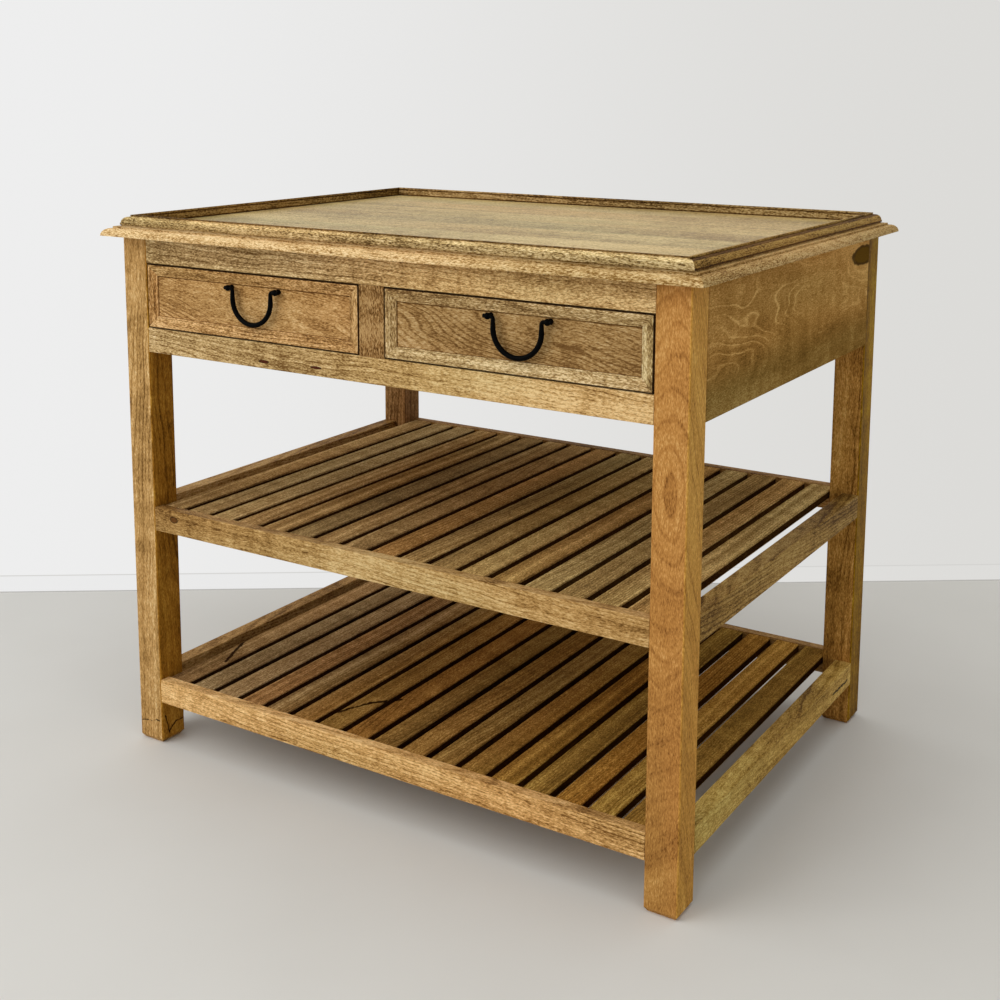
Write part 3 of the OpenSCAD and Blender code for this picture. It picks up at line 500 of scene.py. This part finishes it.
# Floor, light and camera
# A pale studio floor ends where the wall of the photograph starts. The room itself gives soft light, more
# of it from the left, and a lamp in front on the left and a wider, weaker one above add to it.
camera_place = Vector((1.2285, -1.9746, 1.1155))
camera_turn, camera_tilt, camera_roll = (math.radians(angle) for angle in (32.242, 8.815, 0.211))
forward = Vector((-math.sin(camera_turn) * math.cos(camera_tilt),
                  math.cos(camera_turn) * math.cos(camera_tilt), -math.sin(camera_tilt)))
right = Vector((math.cos(camera_turn), math.sin(camera_turn), 0.0))
up = right.cross(forward)
leaned_right = right * math.cos(camera_roll) + up * math.sin(camera_roll)
leaned_up = up * math.cos(camera_roll) - right * math.sin(camera_roll)
lens = bpy.data.cameras.new("camera")
lens.sensor_width, lens.lens, lens.shift_y = 36.0, 50.598, -0.20
lens.clip_start, lens.clip_end = 0.05, 60.0
camera = bpy.data.objects.new("camera", lens)
bpy.context.scene.collection.objects.link(camera)
view = Matrix((leaned_right, leaned_up, -forward)).transposed().to_4x4()
view.translation = camera_place
camera.matrix_world = view
bpy.context.scene.camera = camera

# the floor runs towards the camera from the wall, which stands 2.57 degrees off square to the view
wall_turn = camera_turn + math.radians(2.57)
floor_edge, floor_size, skirting_depth, seam_width = 0.6848, 9.0, 0.109, 0.001
floor_run = floor_edge + skirting_depth
bpy.ops.object.select_all(action="DESELECT")
bpy.ops.mesh.primitive_plane_add(size=floor_size, location=(0, 0, 0))
floor = bpy.context.object
floor.name = "floor"
floor_shift = Matrix.Translation((0, floor_run - floor_size / 2, 0))
floor.data.transform(Matrix.Rotation(wall_turn, 4, "Z") @ floor_shift)
floor_paint = bpy.data.materials.new("floor_paint")
floor_paint.use_nodes = True
tree = floor_paint.node_tree
shader = tree.nodes["Principled BSDF"]
shader.inputs["Roughness"].default_value = 0.75
place = Wire(tree, tree.nodes.new("ShaderNodeTexCoord").outputs["Object"])
from_left = place.along(tuple(right)).step(-1.4, 1.4)
# painted light: the floor is painted paler towards the right, against the fall of the lamps' light that way
colour = from_left.blend(tint(216, 215, 211), tint(226, 224, 218))
colour = (place.noise((3, 3, 3), 3.0).step(0.3, 0.7) * 0.06).blend(colour, tint(170, 166, 158))
tree.links.new(colour.socket, shader.inputs["Base Color"])
# past its edge the floor is painted as the skirting board, a glowing strip painted paler on the left as
# painted light, with a dark seam of painted shadow below and a crest above
distance = place.along((-math.sin(wall_turn), math.cos(wall_turn), 0.0))
board = from_left.blend(tint(236, 236, 236), tint(221, 220, 217))
seam_shadow = 1.0 - distance.step(floor_edge + seam_width, floor_edge + 0.008)
crest = distance.step(floor_run - 0.010, floor_run - 0.002)
board = crest.blend(seam_shadow.blend(board, tint(158, 155, 151)), tint(210, 209, 206))
flat = tree.nodes.new("ShaderNodeEmission")
tree.links.new(board.socket, flat.inputs["Color"])
joined = tree.nodes.new("ShaderNodeMixShader")
tree.links.new(distance.step(floor_edge, floor_edge + seam_width).socket, joined.inputs[0])
tree.links.new(shader.outputs[0], joined.inputs[1])
tree.links.new(flat.outputs[0], joined.inputs[2])
tree.links.new(joined.outputs[0], tree.nodes["Material Output"].inputs["Surface"])
floor.data.materials.append(floor_paint)

# seen directly, in metal or through glass, the world is the wall, painted paler on the left as painted light;
# everything else gets the room's light
world = bpy.data.worlds.new("studio")
bpy.context.scene.world = world
world.use_nodes = True
tree = world.node_tree
background = tree.nodes["Background"]
background.inputs["Strength"].default_value = 1.0
across = Wire(tree, tree.nodes.new("ShaderNodeTexCoord").outputs["Generated"]).along(tuple(right))
wall = across.step(-0.36, 0.36).blend(tint(238, 238, 238), tint(220, 219, 216))
seen = [Wire(tree, tree.nodes.new("ShaderNodeLightPath").outputs[ray])
        for ray in ("Is Camera Ray", "Is Glossy Ray", "Is Transmission Ray")]
plain = seen[0].math("MAXIMUM", seen[1]).math("MAXIMUM", seen[2])
light = across.step(-0.9, 0.9).blend((0.82, 0.82, 0.81, 1.0), (0.44, 0.44, 0.43, 1.0))
tree.links.new(plain.blend(light, wall).socket, background.inputs["Color"])

lamp_aim = Vector((0.0, 0.0, 0.5))
for name, power, size, spot in (("window", 36.0, 2.2, (-1.5, -2.7, 2.3)),
                                ("ceiling", 22.0, 3.0, (0.3, -0.4, 3.2))):
    lamp = bpy.data.lights.new(name, "AREA")
    lamp.energy, lamp.size = power, size
    holder = bpy.data.objects.new(name, lamp)
    bpy.context.scene.collection.objects.link(holder)
    holder.location = spot
    holder.rotation_euler = (lamp_aim - Vector(spot)).to_track_quat("-Z", "Y").to_euler()
bpy.context.scene.view_settings.view_transform = "Standard"
